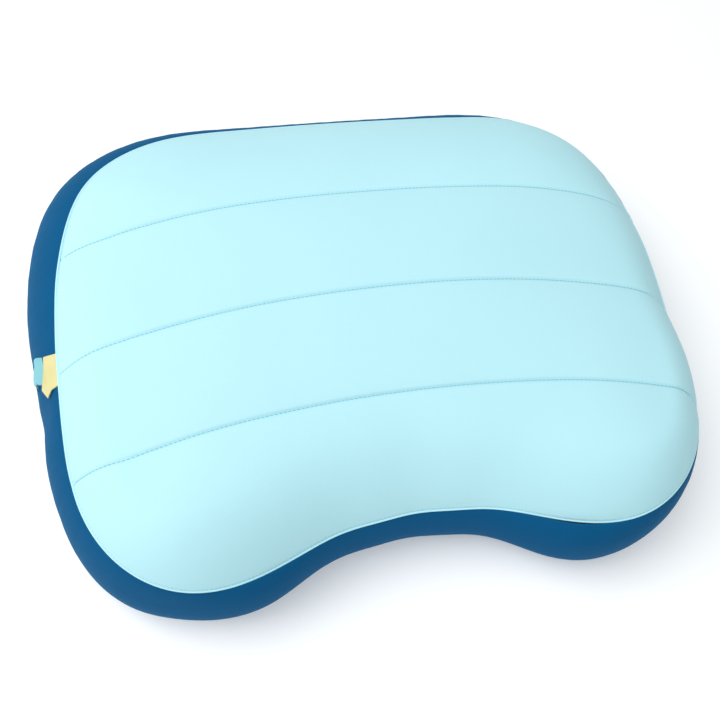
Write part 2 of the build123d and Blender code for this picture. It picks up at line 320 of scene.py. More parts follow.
def thick_from_rings(name, outer_rings, inner_rings, cap_outer=None, cap_inner=None):
    """Closed thick skin from matching lists of rings (outer and inner), capped by a centre point at the end."""
    n = len(outer_rings[0])
    V = np.concatenate(outer_rings + inner_rings[::-1])
    rows = len(outer_rings) + len(inner_rings)
    F = ring_faces(rows, n)
    extra = []
    if cap_outer is not None:
        # rings run from the centre outwards, so both ends are capped by a fan
        extra = [cap_outer, cap_inner]
        b = len(V)
        V = np.concatenate([V, np.array(extra)])
        for i in range(n):
            j = (i + 1) % n
            F.append((b, j, i))
            F.append((b + 1, (rows - 1) * n + i, (rows - 1) * n + j))
    else:
        for i in range(n):
            j = (i + 1) % n
            F.append(((rows - 1) * n + i, (rows - 1) * n + j, j, i))
    o = mesh_object(name, to_m(V), F)
    fix_normals(o)
    return o


def sweep(name, P, N, U, section, close=True):
    """A section (list of (along N, along U)) swept round the points P."""
    m = len(section)
    V = np.concatenate([P + N * a + U * b for a, b in section]).reshape(m, len(P), 3)
    V = V.transpose(1, 0, 2).reshape(-1, 3)
    F = []
    cnt = len(P)
    for i in range(cnt if close else cnt - 1):
        j = (i + 1) % cnt
        for s in range(m):
            t = (s + 1) % m
            F.append((i * m + s, i * m + t, j * m + t, j * m + s))
    if not close:
        F.append(tuple(range(m)))
        F.append(tuple((cnt - 1) * m + s for s in reversed(range(m))))
    o = mesh_object(name, to_m(V), F)
    fix_normals(o)
    return o


def stitches(name, P, N, T, length, gap, r, sink=0.0, sides=6):
    """Thread stitches: short bent capsules laid along a line of points P (millimetres)."""
    seg = np.linalg.norm(np.diff(P, axis=0), axis=1)
    L = np.concatenate([[0], np.cumsum(seg)])
    n = int(L[-1] / (length + gap))
    V, F = [], []
    prof = [(-0.5, -0.9, 0.35), (-0.42, -0.2, 0.8), (-0.2, 0.12, 1.0), (0.2, 0.12, 1.0), (0.42, -0.2, 0.8), (0.5, -0.9, 0.35)]
    for i in range(n):
        mid = (i + 0.5) * (length + gap)
        for q, (u, h, w) in enumerate(prof):
            s = mid + u * length
            p = np.array([np.interp(s, L, P[:, c]) for c in range(3)])
            nn = np.array([np.interp(s, L, N[:, c]) for c in range(3)])
            tt = np.array([np.interp(s, L, T[:, c]) for c in range(3)])
            nn /= np.linalg.norm(nn)
            tt /= np.linalg.norm(tt)
            bb = np.cross(nn, tt)
            for g in range(sides):
                a = 2 * math.pi * g / sides
                V.append(p + nn * (h * r * 1.5 - sink + math.sin(a) * r * w) + bb * math.cos(a) * r * w)
        b = i * len(prof) * sides
        for q in range(len(prof) - 1):
            for g in range(sides):
                g2 = (g + 1) % sides
                F.append((b + q * sides + g, b + q * sides + g2, b + (q + 1) * sides + g2, b + (q + 1) * sides + g))
        F.append(tuple(b + g for g in reversed(range(sides))))
        F.append(tuple(b + (len(prof) - 1) * sides + g for g in range(sides)))
    o = mesh_object(name, to_m(np.array(V)), F)
    fix_normals(o)
    return o


# ------------------------------------------------------------------ materials
def new_mat(name):
    m = bpy.data.materials.new(name)
    m.use_nodes = True
    nt = m.node_tree
    b = nt.nodes["Principled BSDF"]
    return m, nt, b


def node(nt, kind, **kw):
    n = nt.nodes.new(kind)
    for k, v in kw.items():
        setattr(n, k, v)
    return n


def fabric(name, light, dark, wale=0.00085, course=0.0006, bump=0.25, rough=0.86, sheen=0.35,
           sheen_rough=0.45, sheen_tint=(1, 1, 1, 1), fuzz=0.35, mottling=0.5, spec=0.2):
    """Fine brushed weft knit: V-shaped stitches in columns, a soft nap and slow colour drift."""
    m, nt, b = new_mat(name)
    L = nt.links
    tc = node(nt, "ShaderNodeTexCoord")
    sep = node(nt, "ShaderNodeSeparateXYZ")
    L.new(tc.outputs["Object"], sep.inputs[0])

    def math_(op, a, b_=None, c=None):
        n = node(nt, "ShaderNodeMath", operation=op)
        for i, v in enumerate((a, b_, c)):
            if v is None:
                continue
            if isinstance(v, (int, float)):
                n.inputs[i].default_value = v
            else:
                L.new(v, n.inputs[i])
        return n.outputs[0]
    # columns run along Y on the top, and are carried down the walls by mixing in Z
    across = math_("ADD", sep.outputs["X"], math_("MULTIPLY", sep.outputs["Z"], 0.35))
    along = math_("ADD", sep.outputs["Y"], math_("MULTIPLY", sep.outputs["Z"], 0.9))
    u = math_("MULTIPLY", across, 1.0 / wale)
    fr = math_("ABSOLUTE", math_("SUBTRACT", math_("FRACT", u), 0.5))
    v = math_("ADD", math_("MULTIPLY", along, 1.0 / course), math_("MULTIPLY", fr, 1.6))
    loop = math_("SINE", math_("MULTIPLY", v, 2 * math.pi))
    rib = math_("SINE", math_("MULTIPLY", u, 2 * math.pi))
    height = math_("ADD", math_("MULTIPLY", loop, 0.35), math_("MULTIPLY", rib, 0.5))
    nap = node(nt, "ShaderNodeTexNoise")
    nap.inputs["Scale"].default_value = 2600.0
    nap.inputs["Detail"].default_value = 3.0
    nap.inputs["Roughness"].default_value = 0.65
    L.new(tc.outputs["Object"], nap.inputs["Vector"])
    height = math_("ADD", height, math_("MULTIPLY", nap.outputs["Fac"], fuzz * 3.0))
    bm = node(nt, "ShaderNodeBump")
    bm.inputs["Strength"].default_value = bump
    bm.inputs["Distance"].default_value = 0.00012
    L.new(height, bm.inputs["Height"])
    L.new(bm.outputs["Normal"], b.inputs["Normal"])
    slow = node(nt, "ShaderNodeTexNoise")
    slow.inputs["Scale"].default_value = 16.0
    slow.inputs["Detail"].default_value = 4.0
    L.new(tc.outputs["Object"], slow.inputs["Vector"])
    fac = math_("ADD", math_("MULTIPLY", slow.outputs["Fac"], mottling),
                math_("ADD", math_("MULTIPLY", nap.outputs["Fac"], 0.35), math_("MULTIPLY", height, 0.06)))
    ramp = node(nt, "ShaderNodeValToRGB")
    ramp.color_ramp.elements[0].position = 0.2
    ramp.color_ramp.elements[1].position = 0.75
    ramp.color_ramp.elements[0].color = (*dark, 1)
    ramp.color_ramp.elements[1].color = (*light, 1)
    L.new(fac, ramp.inputs["Fac"])
    L.new(ramp.outputs["Color"], b.inputs["Base Color"])
    rr = math_("ADD", math_("MULTIPLY", nap.outputs["Fac"], 0.10), rough - 0.05)
    L.new(rr, b.inputs["Roughness"])
    b.inputs["Specular IOR Level"].default_value = spec
    b.inputs["Sheen Weight"].default_value = sheen
    b.inputs["Sheen Roughness"].default_value = sheen_rough
    b.inputs["Sheen Tint"].default_value = sheen_tint
    return m


def plastic(name, light, dark, rough=0.45, bump=0.15, scale=900.0, coat=0.0, spec=0.5, trans=0.0, ior=1.45, sss=0.0):
    m, nt, b = new_mat(name)
    L = nt.links
    tc = node(nt, "ShaderNodeTexCoord")
    n1 = node(nt, "ShaderNodeTexNoise")
    n1.inputs["Scale"].default_value = scale
    n1.inputs["Detail"].default_value = 4.0
    n2 = node(nt, "ShaderNodeTexNoise")
    n2.inputs["Scale"].default_value = scale * 0.06
    n2.inputs["Detail"].default_value = 3.0
    L.new(tc.outputs["Object"], n1.inputs["Vector"])
    L.new(tc.outputs["Object"], n2.inputs["Vector"])
    ramp = node(nt, "ShaderNodeValToRGB")
    ramp.color_ramp.elements[0].position = 0.3
    ramp.color_ramp.elements[1].position = 0.7
    ramp.color_ramp.elements[0].color = (*dark, 1)
    ramp.color_ramp.elements[1].color = (*light, 1)
    L.new(n2.outputs["Fac"], ramp.inputs["Fac"])
    L.new(ramp.outputs["Color"], b.inputs["Base Color"])
    mr = node(nt, "ShaderNodeMapRange")
    mr.inputs["To Min"].default_value = max(rough - 0.08, 0.02)
    mr.inputs["To Max"].default_value = rough + 0.10
    L.new(n1.outputs["Fac"], mr.inputs["Value"])
    L.new(mr.outputs["Result"], b.inputs["Roughness"])
    bm = node(nt, "ShaderNodeBump")
    bm.inputs["Strength"].default_value = bump
    bm.inputs["Distance"].default_value = 0.00005
    L.new(n1.outputs["Fac"], bm.inputs["Height"])
    L.new(bm.outputs["Normal"], b.inputs["Normal"])
    b.inputs["Specular IOR Level"].default_value = spec
    b.inputs["IOR"].default_value = ior
    b.inputs["Coat Weight"].default_value = coat
    b.inputs["Transmission Weight"].default_value = trans
    if sss:
        b.inputs["Subsurface Weight"].default_value = sss
        b.inputs["Subsurface Radius"].default_value = (0.002, 0.002, 0.002)
        b.inputs["Subsurface Scale"].default_value = 1.0
    return m


def ribbon(name, light, dark, pitch=0.0006):
    """Grosgrain: fine raised ribs across the ribbon."""
    m, nt, b = new_mat(name)
    L = nt.links
    tc = node(nt, "ShaderNodeTexCoord")
    w = node(nt, "ShaderNodeTexWave", wave_type="BANDS", bands_direction="Y", wave_profile="SIN")
    w.inputs["Scale"].default_value = 1.0 / pitch / 20 * 3.2
    w.inputs["Distortion"].default_value = 0.4
    w.inputs["Detail"].default_value = 1.0
    n1 = node(nt, "ShaderNodeTexNoise")
    n1.inputs["Scale"].default_value = 1800.0
    n1.inputs["Detail"].default_value = 3.0
    n2 = node(nt, "ShaderNodeTexNoise")
    n2.inputs["Scale"].default_value = 70.0
    for n in (w, n1, n2):
        L.new(tc.outputs["Object"], n.inputs["Vector"])
    mix = node(nt, "ShaderNodeMath", operation="ADD")
    L.new(w.outputs["Fac"], mix.inputs[0])
    L.new(n1.outputs["Fac"], mix.inputs[1])
    bm = node(nt, "ShaderNodeBump")
    bm.inputs["Strength"].default_value = 0.45
    bm.inputs["Distance"].default_value = 0.00010
    L.new(mix.outputs[0], bm.inputs["Height"])
    L.new(bm.outputs["Normal"], b.inputs["Normal"])
    ramp = node(nt, "ShaderNodeValToRGB")
    ramp.color_ramp.elements[0].position = 0.25
    ramp.color_ramp.elements[1].position = 0.7
    ramp.color_ramp.elements[0].color = (*dark, 1)
    ramp.color_ramp.elements[1].color = (*light, 1)
    mm = node(nt, "ShaderNodeMath", operation="MULTIPLY_ADD")
    L.new(w.outputs["Fac"], mm.inputs[0])
    mm.inputs[1].default_value = 0.3
    L.new(n2.outputs["Fac"], mm.inputs[2])
    L.new(mm.outputs[0], ramp.inputs["Fac"])
    L.new(ramp.outputs["Color"], b.inputs["Base Color"])
    b.inputs["Roughness"].default_value = 0.75
    b.inputs["Specular IOR Level"].default_value = 0.3
    b.inputs["Sheen Weight"].default_value = 0.25
    b.inputs["Sheen Roughness"].default_value = 0.4
    return m


CYAN = fabric("knit_light", (0.462, 0.752, 0.812), (0.420, 0.710, 0.775), sheen=0.12, bump=0.22)
# The hem knit is a lighter copy of the top knit: a painted highlight along the rim of the top cover.
CYAN_HEM_PAINTED_HIGHLIGHT = fabric("knit_light_hem_painted_highlight", (0.490, 0.795, 0.850), (0.440, 0.745, 0.805), wale=0.0007, sheen=0.2, bump=0.3)
NAVY = fabric("knit_navy", (0.0015, 0.0880, 0.2200), (0.0012, 0.0740, 0.1860), sheen=0.11, sheen_rough=0.30,
              sheen_tint=(0.20, 0.62, 0.92, 1), bump=0.22, spec=0.08)
THREAD = fabric("thread_light", (0.19, 0.52, 0.60), (0.16, 0.47, 0.55), wale=0.0003, course=0.00035, sheen=0.2, bump=0.4)
TAPE = fabric("tape_navy", (0.035, 0.10, 0.22), (0.02, 0.07, 0.16), wale=0.0012, course=0.0012, bump=0.5, sheen=0.1)
FILL = fabric("fibre_fill", (0.93, 0.93, 0.91), (0.84, 0.84, 0.82), wale=0.004, course=0.006, bump=0.8, fuzz=1.0, sheen=0.3)
FILM = plastic("elastomer_film", (0.80, 0.85, 0.88), (0.74, 0.80, 0.84), rough=0.28, bump=0.1, scale=300.0, coat=0.2)
TEAL = plastic("cap_teal", (0.225, 0.530, 0.580), (0.205, 0.500, 0.555), rough=0.55, bump=0.25, scale=1600.0, spec=0.3)
GREY = plastic("valve_grey", (0.045, 0.085, 0.140), (0.035, 0.070, 0.120), rough=0.42, bump=0.2, scale=1500.0)
SILI = plastic("silicone", (0.84, 0.87, 0.88), (0.78, 0.82, 0.84), rough=0.35, bump=0.1, scale=900.0, sss=0.2)
YELLOW = ribbon("ribbon_yellow", (0.670, 0.610, 0.300), (0.590, 0.510, 0.215))


def finish_piece(o, mat, body="pillow", nodes=()):
    o.data.materials.clear()
    o.data.materials.append(mat)
    if nodes:
        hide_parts(*nodes)
    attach(o, body)
    return o


# ------------------------------------------------------------------ top cover: four puffed channels in one sheet
def plan_ring(delta, n):
    """Seam line in plan moved inwards by delta."""
    a, _ = arc_angles(n)
    c, nn = outline(a)
    R, ze, Ht, ps = fields(c)
    return c - nn * (R * (1 - np.sin(ps)) + delta)[:, None], a


def inside_poly(q, poly):
    x, y = q[:, 0], q[:, 1]
    ins = np.zeros(len(q), bool)
    px, py = poly[:, 0], poly[:, 1]
    qx, qy = np.roll(px, -1), np.roll(py, -1)
    for i in range(len(poly)):
        cond = (py[i] > y) != (qy[i] > y)
        if py[i] == qy[i]:
            continue
        ins ^= cond & (x < (qx[i] - px[i]) * (y - py[i]) / (qy[i] - py[i]) + px[i])
    return ins


def top_sheet(name, x_step, rings, offs, sheet_t, depth, groove, pucker, start=0.0, inward=0.0, edge_n=780, near=8.0):
    bring, _ = plan_ring(start, edge_n)
    pts = [bring]
    edges = [(i, (i + 1) % edge_n) for i in range(edge_n)]
    cnt = edge_n
    for delta, n in rings:
        r, _ = plan_ring(start + delta, n)
        tmin = np.min([np.abs(quilt_t(k, r[:, 0], r[:, 1])) for k in range(3)], axis=0)
        if delta > 2.0:
            r = r[tmin > near * 0.9]
        pts.append(r)
        cnt += len(r)
    last = rings[-1][0] + start
    # rows that follow the quilt lines
    xs = np.arange(-200, 200.1, x_step)
    lines = []
    for k in range(3):
        for o in offs:
            if abs(o) > near:
                continue
            lines.append((k, o, xs, quilt_y(k, xs) + o))
    rows = []
    bounds = [400.0] + [None] * 3 + [-400.0]
    for ch in range(4):
        # far side of the channel, near side of the channel
        for j, x0 in enumerate(np.arange(-200, 200.1, x_step * 1.6)):
            hi = quilt_y(ch - 1, x0) - near if ch > 0 else 200.0
            lo = quilt_y(ch, x0) + near if ch < 3 else -160.0
            m = int(max(round((hi - lo) / (5.5 if ch in (1, 2) else 5.5)), 2))
            for i in range(m + 1):
                if (i == 0 and ch > 0) or (i == m and ch < 3):
                    continue
                rows.append((x0 + (0.8 * x_step if i % 2 else 0), hi + (lo - hi) * i / m))
    rows = np.array(rows)
    sd, j = nearest(rows)
    seam_sd = _R[j] * (1 - np.sin(_PS[j]))
    inside = np.zeros(len(rows), bool)
    ang = np.arctan2(rows[:, 0], -rows[:, 1]) % (2 * np.pi)
    co, _ = outline(ang)
    inside = np.linalg.norm(rows, axis=1) < np.linalg.norm(co, axis=1)
    rows = rows[inside & (sd - seam_sd > last + 2.5)]
    pts.append(rows)
    cnt += len(rows)
    for k, o, lx, ly in lines:
        q = np.stack([lx, ly], 1)
        ang = np.arctan2(q[:, 0], -q[:, 1]) % (2 * np.pi)
        co, _ = outline(ang)
        ins = np.linalg.norm(q, axis=1) < np.linalg.norm(co, axis=1) - 1
        sd, j = nearest(q)
        seam_sd = _R[j] * (1 - np.sin(_PS[j]))
        q = q[ins & (sd - seam_sd > start + 2.1)]
        if len(q) < 2:
            continue
        edges += [(cnt + i, cnt + i + 1) for i in range(len(q) - 1)]
        pts.append(q)
        cnt += len(q)
    P2 = np.concatenate(pts)
    res = geometry.delaunay_2d_cdt([Vector(p) for p in P2], edges, [list(range(edge_n))], 1, 0.02, False)
    V2 = np.array([[v.x, v.y] for v in res[0]])
    F = np.array([list(f) for f in res[2]])
    cen = V2[F].mean(axis=1)
    F = [tuple(int(i) for i in f) for f in F[inside_poly(cen, bring)]]
    used = sorted({i for f in F for i in f})
    back_to = {u: i for i, u in enumerate(used)}
    V2 = V2[used]
    F = [tuple(back_to[i] for i in f) for f in F]
    P3, n = top_points(V2, depth=depth, groove=groove, pucker=pucker, inward=inward)
    # tuck the rim under the hem
    sd, j = nearest(V2)
    dd = sd - _R[j] * (1 - np.sin(_PS[j])) - start
    P3 = P3 - n * (0.25 * (1 - smooth(dd, 0.3, 1.6)) + 0.16 * np.exp(-((dd - 2.3 * 0.75) / 0.45) ** 2))[:, None]
    Q3 = P3 - n * sheet_t
    m = len(P3)
    faces = [tuple(f) for f in F] + [tuple(m + i for i in reversed(f)) for f in F]
    # rim
    count = {}
    for f in F:
        for i in range(len(f)):
            e = (f[i], f[(i + 1) % len(f)])
            count[e] = 1
    rim = [e for e in count if (e[1], e[0]) not in count]
    faces += [(e[1], e[0], m + e[0], m + e[1]) for e in rim]
    o = mesh_object(name, to_m(np.concatenate([P3, Q3])), faces)
    fix_normals(o)
    return o


OFFS = [0.0, 0.35, 0.75, 1.25, 1.9, 2.8, 4.0, 5.7, 8.0]
OFFS = sorted({s * o for o in OFFS for s in (-1, 1)})
top = top_sheet("top_cover_knit", 2.6, [(0.6, 780), (1.15, 780), (1.7, 780), (2.4, 780), (3.6, 620), (5.4, 520), (8.0, 420), (11.5, 340)],
                OFFS, 0.9, 2.3, 1.0, 0.08)
finish_piece(top, CYAN, nodes=("top_cover",))

# ------------------------------------------------------------------ navy lower cover
aw, _ = arc_angles(1040)
ups = [0.0, 0.02, 0.05, 0.09, 0.14, 0.2, 0.27, 0.35, 0.44, 0.54, 0.64, 0.74, 0.84, 0.92, 1.0]
lows = [6, 12, 19, 26, 33, 40, 47, 54, 61, 68, 74, 79]


def lower_rings(d, start_d):
    rr = []
    for v in ups:
        P, N = wall_ring(aw, "up", v, d)
        if v < 0.12:                       # the edge dives under the hem of the top
            P = P - N * ((1 - v / 0.12) ** 2 * start_d)
        rr.append(P)
    for v in lows:
        rr.append(wall_ring(aw, "low", v, d)[0])
    last = rr[-1].copy()
    for s in (0.86, 0.7, 0.52, 0.34, 0.16):
        q = last.copy()
        q[:, :2] = last[:, :2] * s
        lift = valley(q[:, 0], q[:, 1], depth=1.6, length=9.0, groove=0.3, gw=2.0, pucker=0.0) * smooth(210 - np.abs(q[:, 0]), 40, 90)
        q[:, 2] = d + lift
        rr.append(q)
    return rr


outer = lower_rings(0.0, 0.5)[::-1]
inner = lower_rings(0.9, 0.5)[::-1]
navy = thick_from_rings("lower_cover_knit", outer, inner, cap_outer=[0, 0, 1.2], cap_inner=[0, 0, 2.1])
tilt = math.radians(20.0)
AX = np.array([-math.cos(tilt), 0, math.sin(tilt)])
UPV = np.array([math.sin(tilt), 0, math.cos(tilt)])
V0 = np.array([-203.2, 3.0, 54.1]) - AX * 2.6
EY = np.array([0.0, 1.0, 0.0])


def bore(o, r, lo, hi):
    """Cut the round valve hole through a skin."""
    n = 64
    ring = [EY * r * math.cos(2 * math.pi * i / n) + UPV * r * math.sin(2 * math.pi * i / n) for i in range(n)]
    V = [V0 + AX * lo + q for q in ring] + [V0 + AX * hi + q for q in ring]
    F = [(i, (i + 1) % n, n + (i + 1) % n, n + i) for i in range(n)] + [tuple(reversed(range(n))), tuple(range(n, 2 * n))]
    cut = mesh_object("cutter_tmp", to_m(np.array(V)), F, False)
    fix_normals(cut)
    md = o.modifiers.new("hole", "BOOLEAN")
    md.operation, md.solver, md.object = "DIFFERENCE", "EXACT", cut
    bpy.context.view_layer.update()
    dg = bpy.context.evaluated_depsgraph_get()
    me = bpy.data.meshes.new_from_object(o.evaluated_get(dg))
    old = o.data
    o.modifiers.clear()
    o.data = me
    bpy.data.meshes.remove(old)
    bpy.data.objects.remove(cut)
    me.polygons.foreach_set("use_smooth", [True] * len(me.polygons))
    return o


bore(navy, 8.65, -3.0, 12.0)
finish_piece(navy, NAVY, nodes=("bottom_cover",))

# bound edge of the valve hole
from mathutils.bvhtree import BVHTree
bv = BVHTree.FromPolygons([v.co.copy() for v in navy.data.vertices], [tuple(p.vertices) for p in navy.data.polygons])
cen, nn, uu = [], [], []
for i in range(96):
    t = 2 * math.pi * i / 96
    d = EY * math.cos(t) + UPV * math.sin(t)
    q = V0 + d * 9.15
    w0 = to_m(np.array([q + AX * 15.0]))[0]
    hit = bv.ray_cast(Vector(w0), Vector(-AX))
    cen.append(q + AX * (15.0 - hit[3] * 1000.0))
    nn.append(AX)
    uu.append(d)
edge_sec = [(0.62 * math.cos(2 * math.pi * k / 10) * 0.8 + 0.02, 0.62 * math.sin(2 * math.pi * k / 10)) for k in range(10)]
rim = sweep("valve_hole_binding", np.array(cen), np.array(nn), np.array(uu), edge_sec)
finish_piece(rim, NAVY)

# ------------------------------------------------------------------ hem of the top cover and its topstitching
ah, _ = arc_angles(1040)
P, N, U = seam_point(ah)
hem_sec = [(-0.8, -0.2), (-0.25, -0.26), (0.10, -0.20), (0.26, -0.02), (0.30, 0.22), (0.26, 0.46), (0.14, 0.68), (-0.06, 0.80), (-0.4, 0.84), (-0.8, 0.8)]
hem = sweep("edge_hem", P, N, U, hem_sec)
# the hem takes the lighter knit, a painted highlight along the rim
finish_piece(hem, CYAN_HEM_PAINTED_HIGHLIGHT, nodes=("edge_binding",))

P2, N2, U2 = seam_point(ah, out=-0.04, lift=np.full(len(ah), 2.0))
me_t = top.data
bt = BVHTree.FromPolygons([v.co.copy() for v in me_t.vertices], [tuple(p.vertices) for p in me_t.polygons])
W2 = to_m(P2)
for i in range(len(P2)):
    q = W2[i] + N2[i] * 0.004
    hit = bt.ray_cast(Vector(q), Vector(-N2[i]), 0.009)
    if hit[0] is not None:
        P2[i] += N2[i] * (0.004 - hit[3]) * 1000.0
loop = np.vstack([P2, P2[:1]])
T2 = np.roll(P2, -1, 0) - np.roll(P2, 1, 0)
st = stitches("edge_topstitch", loop, np.vstack([N2, N2[:1]]), np.vstack([T2, T2[:1]]), 1.9, 0.35, 0.11, sink=0.05)
finish_piece(st, THREAD)

# ------------------------------------------------------------------ quilting thread in the valleys
for k in range(3):
    xs = np.linspace(-200, 200, 801)
    q = np.stack([xs, quilt_y(k, xs)], 1)
    ang = np.arctan2(q[:, 0], -q[:, 1]) % (2 * np.pi)
    co, _ = outline(ang)
    ins = np.linalg.norm(q, axis=1) < np.linalg.norm(co, axis=1) - 1
    sd, j = nearest(q)
    q = q[ins & (sd - _R[j] * (1 - np.sin(_PS[j])) > 1.0)]
    if k == 0:
        q = q[q[:, 0] > -181.0]
    P3, n3 = top_points(q, inward=-0.05)
    T3 = np.gradient(P3, axis=0)
    s = stitches("quilt_stitching_%d" % (k + 1), P3, n3, T3, 2.2, 0.3, 0.17, sink=0.05)
    finish_piece(s, THREAD, nodes=("quilt_seam_%d" % (k + 1),))


# ------------------------------------------------------------------ what the covers hide
def coarse_top(name, x_step, inward, depth, t, start, groove=0.5):
    return top_sheet(name, x_step, [(2.5, 300), (6.0, 260), (11.0, 220)], [-8, -4.5, -2, -0.8, 0, 0.8, 2, 4.5, 8], t,
                     depth, groove, 0.0, start=start, inward=inward, edge_n=360)


def pad_between(name, ch, d1, d2, edge):
    """One fill pad: crowned on top, its sides pulled in towards the quilt lines."""
    nx, ny = 60, 14
    xs = np.cos(np.linspace(math.pi, 0, nx))
    rows_t, rows_b = [], []
    for xi in xs:
        x = xi * 168.0
        hi = QUILT[ch - 1][0] + QUILT[ch - 1][1] * (x / S) ** 2 - 2.0 if ch > 0 else None
        lo = QUILT[ch][0] + QUILT[ch][1] * (x / S) ** 2 + 2.0 if ch < 3 else None
        ys = np.linspace(-200, 200, 801)
        q = np.stack([np.full_like(ys, x), ys], 1)
        sd, j = nearest(q)
        ang = np.arctan2(q[:, 0], -q[:, 1]) % (2 * np.pi)
        co, _ = outline(ang)
        ok = (np.linalg.norm(q, axis=1) < np.linalg.norm(co, axis=1)) & (sd - _R[j] * (1 - np.sin(_PS[j])) > edge)
        y_in = ys[ok]
        hi = y_in.max() if hi is None else min(hi, y_in.max())
        lo = y_in.min() if lo is None else max(lo, y_in.min())
        if hi - lo < 6:
            mid = 0.5 * (hi + lo)
            hi, lo = mid + 3, mid - 3
        yy = 0.5 * (hi + lo) + 0.5 * (hi - lo) * np.cos(np.linspace(math.pi, 0, ny))
        q = np.stack([np.full(ny, x), yy], 1)
        e = np.minimum(1 - np.abs(np.linspace(-1, 1, ny)) ** 4, 1) * (1 - abs(xi) ** 10)
        e = np.clip(e, 0.0, 1)
        mid_d = 0.5 * (d1 + d2)
        a, n = top_points(q, groove=0.6, pucker=0.0, inward=0.0)
        rows_t.append(a - n * (mid_d - (mid_d - d1) * np.sqrt(e))[:, None])
        rows_b.append(a - n * (mid_d + 0.15 + (d2 - mid_d) * np.sqrt(e))[:, None])
    V = np.concatenate(rows_t + rows_b)
    F = []
    m = nx * ny
    for i in range(nx - 1):
        for j2 in range(ny - 1):
            a = i * ny + j2
            F.append((a, a + 1, a + ny + 1, a + ny))
            F.append((m + a, m + a + ny, m + a + ny + 1, m + a + 1))
    for i in range(nx - 1):
        for j2 in (0, ny - 1):
            a = i * ny + j2
            F.append((a, a + ny, m + a + ny, m + a))
    for j2 in range(ny - 1):
        for i in (0, nx - 1):
            a = i * ny + j2
            F.append((a, a + 1, m + a + 1, m + a))
    o = mesh_object(name, to_m(V), F)
    fix_normals(o)
    return o


for ch in range(4):
    o = pad_between("fibre_pad_%d" % (ch + 1), ch, 1.8, 5.4, 6.0)
    finish_piece(o, FILL, nodes=("fill_pad_%d" % (ch + 1),))

ft = coarse_top("bladder_upper_film", 6.0, 6.6, 3.4, 0.5, 4.0)
finish_piece(ft, FILM, nodes=("bladder_top_film",))

ab, _ = arc_angles(360)


def film_rings(d):
    c, n = outline(ab)
    rr = []
    for v in (0.1, 0.25, 0.45, 0.65, 0.85, 1.0):
        rr.append(wall_ring(ab, "up", v, d)[0])
    for v in (10, 22, 34, 46, 58, 70, 79):
        rr.append(wall_ring(ab, "low", v, d)[0])
    last = rr[-1].copy()
    for s in (0.8, 0.55, 0.3, 0.12):
        q = last.copy()
        q[:, :2] = last[:, :2] * s
        q[:, 2] = d + 1.6
        rr.append(q)
    return rr[::-1]


fb = thick_from_rings("bladder_lower_film", film_rings(6.6), film_rings(7.2), cap_outer=[0, 0, 8.2], cap_inner=[0, 0, 8.8])
bore(fb, 7.4, -14.0, 6.0)
finish_piece(fb, FILM, nodes=("bladder_bottom_film",))

for k in range(3):
    y0, c = QUILT[k]
    xs = np.linspace(-150, 150, 101)
    q = np.stack([xs, y0 + c * (xs / S) ** 2], 1)
    P3, n3 = top_points(q, depth=3.4, groove=0.5, pucker=0.0, inward=7.4)
    V, F = [], []
    rows = 9
    for j in range(rows):
        f = j / (rows - 1)
        z = 9.0 + (P3[:, 2] - 9.0) * f
        w = 0.35
        nar = 1 - 0.10 * math.sin(math.pi * f)            # the free ends of the web are drawn in
        for sgn in (-1, 1):
            V.append(np.stack([xs * nar, y0 + c * (xs * nar / S) ** 2 + sgn * w, z], 1))
    n = len(xs)
    V = np.concatenate(V)
    for j in range(rows - 1):
        for i in range(n - 1):
            for side in (0, 1):
                a = (2 * j + side) * n + i
                b = (2 * (j + 1) + side) * n + i
                F.append((a, a + 1, b + 1, b))
    for j in (0, rows - 1):
        for i in range(n - 1):
            a, b = 2 * j * n + i, (2 * j + 1) * n + i
            F.append((a, a + 1, b + 1, b))
    for j in range(rows - 1):
        for i in (0, n - 1):
            a, b = 2 * j * n + i, (2 * j + 1) * n + i
            a2, b2 = 2 * (j + 1) * n + i, (2 * (j + 1) + 1) * n + i
            F.append((a, b, b2, a2))
    o = mesh_object("baffle_film_%d" % (k + 1), to_m(V), F)
    fix_normals(o)
    finish_piece(o, FILM, nodes=("baffle_web_%d" % (k + 1),))

Pt, Nt, Ut = seam_point(arc_angles(360)[0], out=-1.6)
tape = sweep("seam_tape", Pt, Nt, Ut, [(0.25, -3.6), (0.25, 2.2), (-0.3, 2.2), (-0.3, -3.6)])
finish_piece(tape, TAPE, nodes=("edge_seam_tape",))

# ------------------------------------------------------------------ valve
for nname, mat in (("valve_housing", GREY), ("deflate_plug", GREY), ("check_flap", SILI),
                   ("valve_reinforcement", TAPE), ("valve_weld_flange", FILM)):
    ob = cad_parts[nname]
    ob.data.materials.clear()
    ob.data.materials.append(mat)


def rounded_plate(name, outline_pts, thick, bev, frame_o, ex, ey, ez, seg=3, cup=None):
    """A flat moulded or woven piece with rounded edges, from a closed outline in its own plane."""
    bm = bmesh.new()
    vs = [bm.verts.new((p[0], p[1], 0)) for p in outline_pts]
    f = bm.faces.new(vs)
    r = bmesh.ops.extrude_face_region(bm, geom=[f])
    up = [g for g in r["geom"] if isinstance(g, bmesh.types.BMVert)]
    bmesh.ops.translate(bm, vec=(0, 0, thick), verts=up)
    rim = [e for e in bm.edges if abs(e.verts[0].co.z - e.verts[1].co.z) < 1e-6]
    bmesh.ops.bevel(bm, geom=rim, offset=bev, offset_type="OFFSET", segments=seg, profile=0.5, affect="EDGES", clamp_overlap=True)
    bmesh.ops.recalc_face_normals(bm, faces=bm.faces)
    me = bpy.data.meshes.new(name)
    bm.to_mesh(me)
    bm.free()
    co = np.array([v.co for v in me.vertices])
    if cup is not None:
        co = cup(co)
    W = frame_o + co[:, :1] * ex + co[:, 1:2] * ey + co[:, 2:3] * ez
    W = to_m(W)
    me.vertices.foreach_set("co", W.reshape(-1))
    me.update()
    me.polygons.foreach_set("use_smooth", [True] * len(me.polygons))
    o = bpy.data.objects.new(name, me)
    bpy.context.scene.collection.objects.link(o)
    fix_normals(o)
    return o


